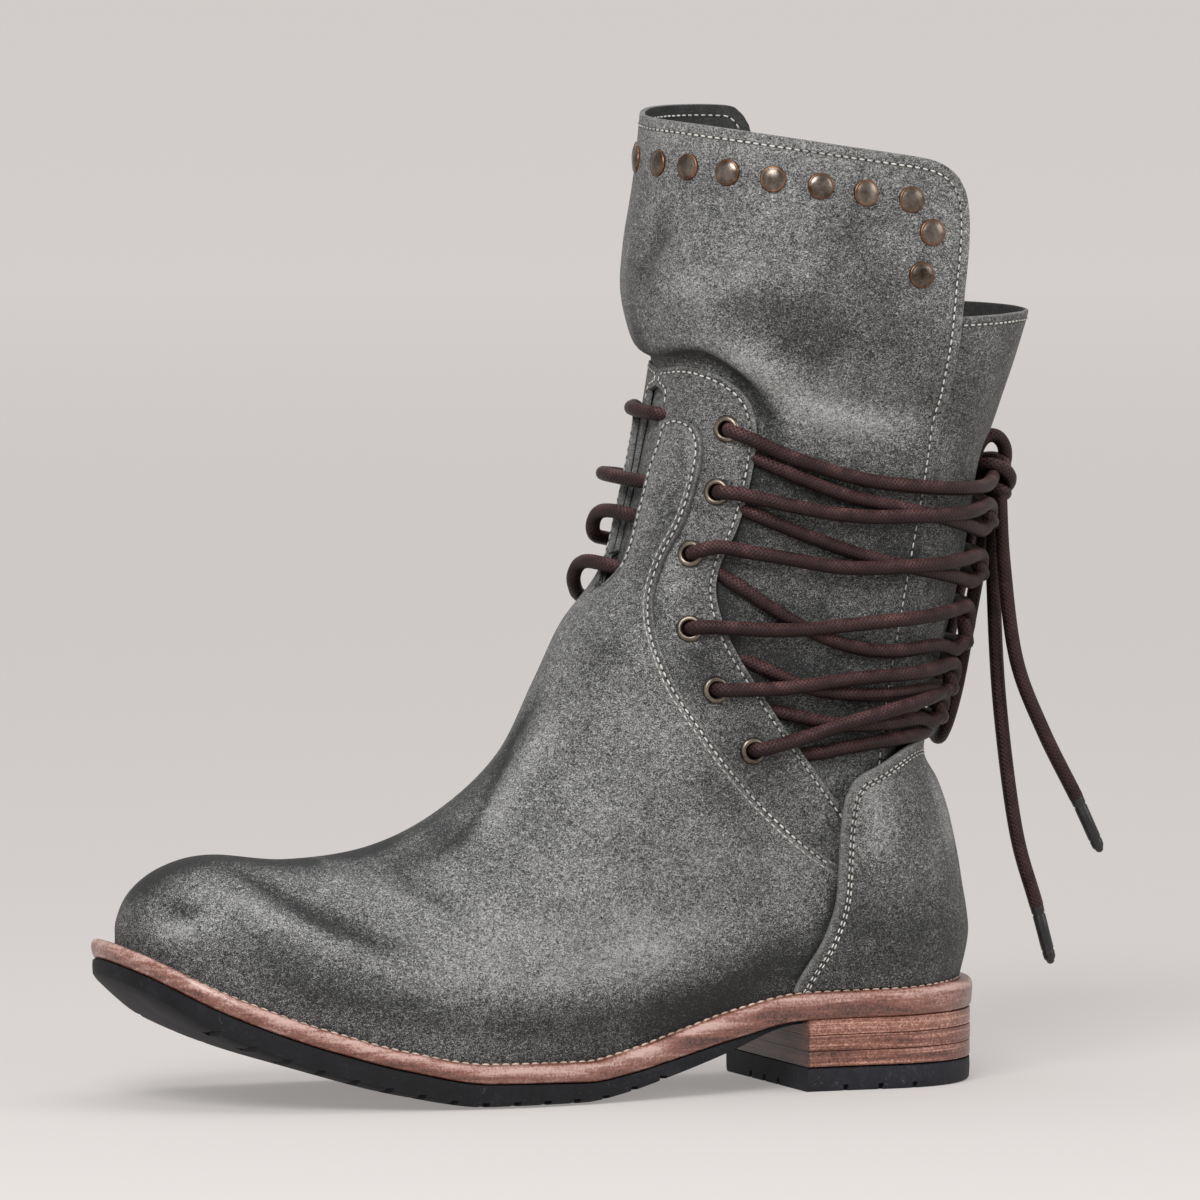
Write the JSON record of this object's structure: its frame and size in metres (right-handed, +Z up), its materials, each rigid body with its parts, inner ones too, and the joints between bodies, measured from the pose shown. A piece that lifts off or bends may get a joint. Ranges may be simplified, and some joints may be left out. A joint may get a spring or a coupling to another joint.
{
  "type": "lace-up boot",
  "caption": "Left lace-up boot in distressed leather, with a welted sole, stacked heel, studded soft shaft and a cord laced round the back of the leg and tied.",
  "frame": {"origin": "middle of the bottom of the boot's box, on the floor, measured without the knot, loop and free ends of the lace", "axes": "+Z up, -X towards the toe, +X towards the heel, -Y the outer (lateral) side, +Y the inner (medial) side"},
  "size_m": [0.3208, 0.1046, 0.297],
  "materials": {
    "upper_leather": "distressed waxed nap, matt",
    "shaft_leather": "distressed waxed nap, matt",
    "welt_leather": "scuffed, waxed edge",
    "heel_leather": "stacked, sanded and waxed",
    "sole_rubber": "matt",
    "footbed": "plain",
    "antique_brass": "antiqued, worn high spots",
    "lace_cord": "braided, waxed",
    "lace_tip": "satin"
  },
  "bodies": {
    "root": {"welt": "welt_leather", "outsole": "sole_rubber", "heel_top_lift": "sole_rubber", "heel_lift_1": "heel_leather", "heel_lift_2": "heel_leather", "heel_lift_3": "heel_leather", "insole": "footbed", "upper": "upper_leather", "counter": "upper_leather", "eyestay_lateral": "upper_leather", "eyestay_medial": "upper_leather", "shaft": "shaft_leather", "gusset": "shaft_leather", "eyelet_lateral_1": "antique_brass", "eyelet_lateral_2": "antique_brass", "eyelet_lateral_3": "antique_brass", "eyelet_lateral_4": "antique_brass", "eyelet_lateral_5": "antique_brass", "eyelet_lateral_6": "antique_brass", "eyelet_medial_1": "antique_brass", "eyelet_medial_2": "antique_brass", "eyelet_medial_3": "antique_brass", "eyelet_medial_4": "antique_brass", "eyelet_medial_5": "antique_brass", "eyelet_medial_6": "antique_brass", "stud_lateral_1": "antique_brass", "stud_lateral_2": "antique_brass", "stud_lateral_3": "antique_brass", "stud_lateral_4": "antique_brass", "stud_lateral_5": "antique_brass", "stud_lateral_6": "antique_brass", "stud_lateral_7": "antique_brass", "stud_lateral_8": "antique_brass", "stud_lateral_9": "antique_brass", "stud_medial_1": "antique_brass", "stud_medial_2": "antique_brass", "stud_medial_3": "antique_brass", "stud_medial_4": "antique_brass", "stud_medial_5": "antique_brass", "stud_medial_6": "antique_brass", "stud_medial_7": "antique_brass", "lace_cross_1": "lace_cord", "lace_cross_2": "lace_cord", "lace_cross_3": "lace_cord", "lace_cross_4": "lace_cord", "lace_cross_5": "lace_cord", "lace_base": "lace_cord", "lace_top_lateral": "lace_cord", "lace_top_medial": "lace_cord", "lace_front_1": "lace_cord", "lace_front_2": "lace_cord", "lace_front_3": "lace_cord", "lace_front_4": "lace_cord", "lace_knot": "lace_cord", "lace_loop": "lace_cord", "lace_end_1": "lace_cord", "lace_end_2": "lace_cord", "lace_tip_1": "lace_tip", "lace_tip_2": "lace_tip"}
  },
  "joints": []
}
